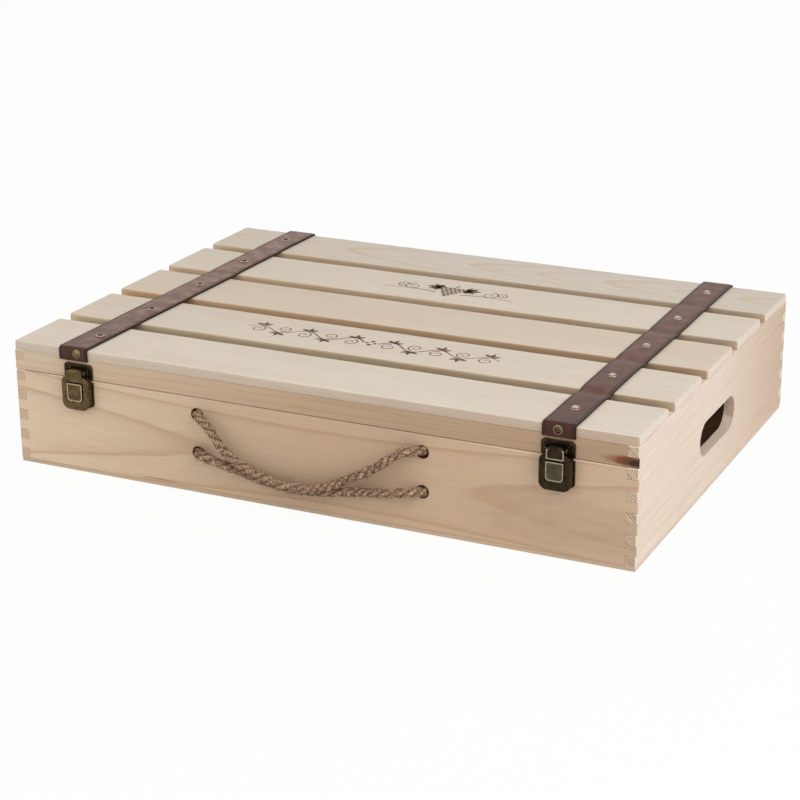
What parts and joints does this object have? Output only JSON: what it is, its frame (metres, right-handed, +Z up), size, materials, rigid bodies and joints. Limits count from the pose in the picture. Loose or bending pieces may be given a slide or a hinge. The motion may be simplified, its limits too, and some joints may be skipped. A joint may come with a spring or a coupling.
{
  "type": "wine box",
  "caption": "Flat wooden bottle case with a hinged slatted lid, riveted leather straps, hasp latches, hand holes and a rope handle.",
  "frame": {"origin": "the centre of the underside, on the surface that the box rests on", "axes": "+X to the right along the box's length, -Y out of the front with the latches and the rope handle, +Z up"},
  "size_m": [0.5, 0.3811, 0.102],
  "materials": {
    "pine_front": "bare sanded pine, tan, grain along the board",
    "pine_side": "bare sanded pine, cream",
    "pine_slat": "bare planed pine, pale grey-beige",
    "plywood": "thin birch plywood",
    "leather": "mauve-brown strap leather, matt, darker at the edges",
    "antique_brass": "antique brass",
    "bronze": "dark bronzed sheet brass with worn edges",
    "steel": "bright steel",
    "jute": "three-strand twisted jute"
  },
  "bodies": {
    "box": {"front_board": "pine_front", "back_board": "pine_front", "left_board": "pine_side", "right_board": "pine_side", "bottom_panel": "plywood", "bottom_nails": "steel", "body_rest": "plywood", "neck_rest": "plywood", "left_keeper": "bronze", "right_keeper": "bronze", "keeper_screws": "bronze", "left_lower_hinge_leaf": "antique_brass", "right_lower_hinge_leaf": "antique_brass", "left_hinge_pin": "antique_brass", "right_hinge_pin": "antique_brass", "lower_hinge_screws": "steel", "handle_rope": "jute", "rope_knots": "jute"},
    "lid": {"lid_front_rail": "pine_front", "lid_back_rail": "pine_front", "lid_left_rail": "pine_side", "lid_right_rail": "pine_side", "slat_1": "pine_slat", "slat_2": "pine_slat", "slat_3": "pine_slat", "slat_4": "pine_slat", "slat_5": "pine_slat", "left_strap": "leather", "right_strap": "leather", "left_strap_rivets": "antique_brass", "right_strap_rivets": "antique_brass", "left_hasp_plate": "bronze", "right_hasp_plate": "bronze", "left_hasp_pin": "bronze", "right_hasp_pin": "bronze", "hasp_plate_screws": "bronze", "left_upper_hinge_leaf": "antique_brass", "right_upper_hinge_leaf": "antique_brass", "upper_hinge_screws": "steel"},
    "left_hasp": {"left_hasp": "bronze"},
    "right_hasp": {"right_hasp": "bronze"}
  },
  "joints": [
    {"name": "lid_hinge", "type": "hinge", "parent": "box", "child": "lid", "pos_m": [0, 0.1827, 0.0752], "axis": [-1, 0, 0], "range_deg": [0, 180]},
    {"name": "left_hasp_pivot", "type": "hinge", "parent": "lid", "child": "left_hasp", "pos_m": [-0.1925, -0.1842, 0.0815], "axis": [-1, 0, 0], "range_deg": [0, 120]},
    {"name": "right_hasp_pivot", "type": "hinge", "parent": "lid", "child": "right_hasp", "pos_m": [0.1925, -0.1842, 0.0815], "axis": [-1, 0, 0], "range_deg": [0, 120]}
  ]
}
